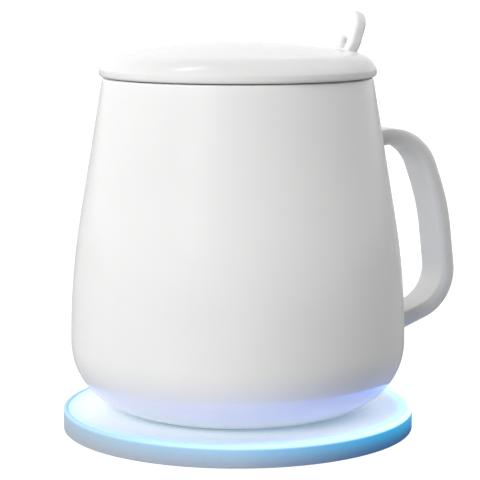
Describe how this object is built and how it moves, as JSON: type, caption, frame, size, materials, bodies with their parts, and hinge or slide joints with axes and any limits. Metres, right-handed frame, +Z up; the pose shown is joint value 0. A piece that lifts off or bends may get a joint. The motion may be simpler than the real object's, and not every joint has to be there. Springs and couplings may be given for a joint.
{
  "type": "self-heating mug with wireless charger",
  "caption": "White ceramic mug with strap handle, domed lid and spoon on a thin round wireless charging base with a glowing edge; a coil and heater in the mug's foot keep a drink warm.",
  "frame": {"origin": "on the table under the middle of the charging base, on the underside of its anti-slip pad", "axes": "+Z up along the mug's axis, +X towards the mug's handle and the lid's notch, +Y towards the charging base's USB-C inlet"},
  "size_m": [0.1252, 0.104, 0.1239],
  "materials": {
    "glazed_white": "clear gloss glaze on white stoneware",
    "light_ring": "translucent, lit from inside",
    "plate_plastic": "smooth gloss",
    "case_plastic": "fine matt texture",
    "anti_slip_rubber": "matt",
    "steel": "plain steel",
    "circuit_board": "green solder mask",
    "ring_leds": "clear resin, lit",
    "chip_plastic": "moulded black resin",
    "capacitor_ceramic": "matt",
    "spacer_foam": "closed-cell foam",
    "ferrite": "matt sintered",
    "copper_wire": "enamelled copper",
    "heater_aluminium": "rolled",
    "insulation_felt": "ceramic-fibre felt",
    "cutout_case": "black",
    "pin_brass": "turned",
    "cover_plastic": "fine matt texture",
    "seal_silicone": "silicone"
  },
  "bodies": {
    "base": {"anti_slip_pad": "anti_slip_rubber", "lower_case": "case_plastic", "light_ring": "light_ring", "top_plate": "plate_plastic", "case_screws": "steel", "charger_board": "circuit_board", "ring_leds": "ring_leds", "charger_chips": "chip_plastic", "tuning_capacitors": "capacitor_ceramic", "usb_shell": "steel", "usb_tongue": "chip_plastic", "coil_spacer": "spacer_foam", "transmitter_ferrite": "ferrite", "transmitter_coil": "copper_wire"},
    "cup": {"mug_body": "glazed_white", "mug_handle": "glazed_white", "heater_plate": "heater_aluminium", "insulation_pad": "insulation_felt", "thermal_cutout": "cutout_case", "heater_pins": "pin_brass", "receiver_board": "circuit_board", "receiver_chips": "chip_plastic", "receiver_ferrite": "ferrite", "receiver_coil": "copper_wire", "mug_bottom_cover": "cover_plastic", "cover_gasket": "seal_silicone"},
    "lid": {"lid": "glazed_white"},
    "spoon": {"spoon": "glazed_white"}
  },
  "joints": [
    {"name": "cup_lift", "type": "slide", "parent": "base", "child": "cup", "axis": [0, 0, 1], "range_m": [0, 0.1]},
    {"name": "lid_lift", "type": "slide", "parent": "cup", "child": "lid", "axis": [0, 0, 1], "range_m": [0, 0.06]},
    {"name": "spoon_lift", "type": "slide", "parent": "cup", "child": "spoon", "axis": [0.309, 0, 0.9511], "range_m": [0, 0.04]}
  ]
}
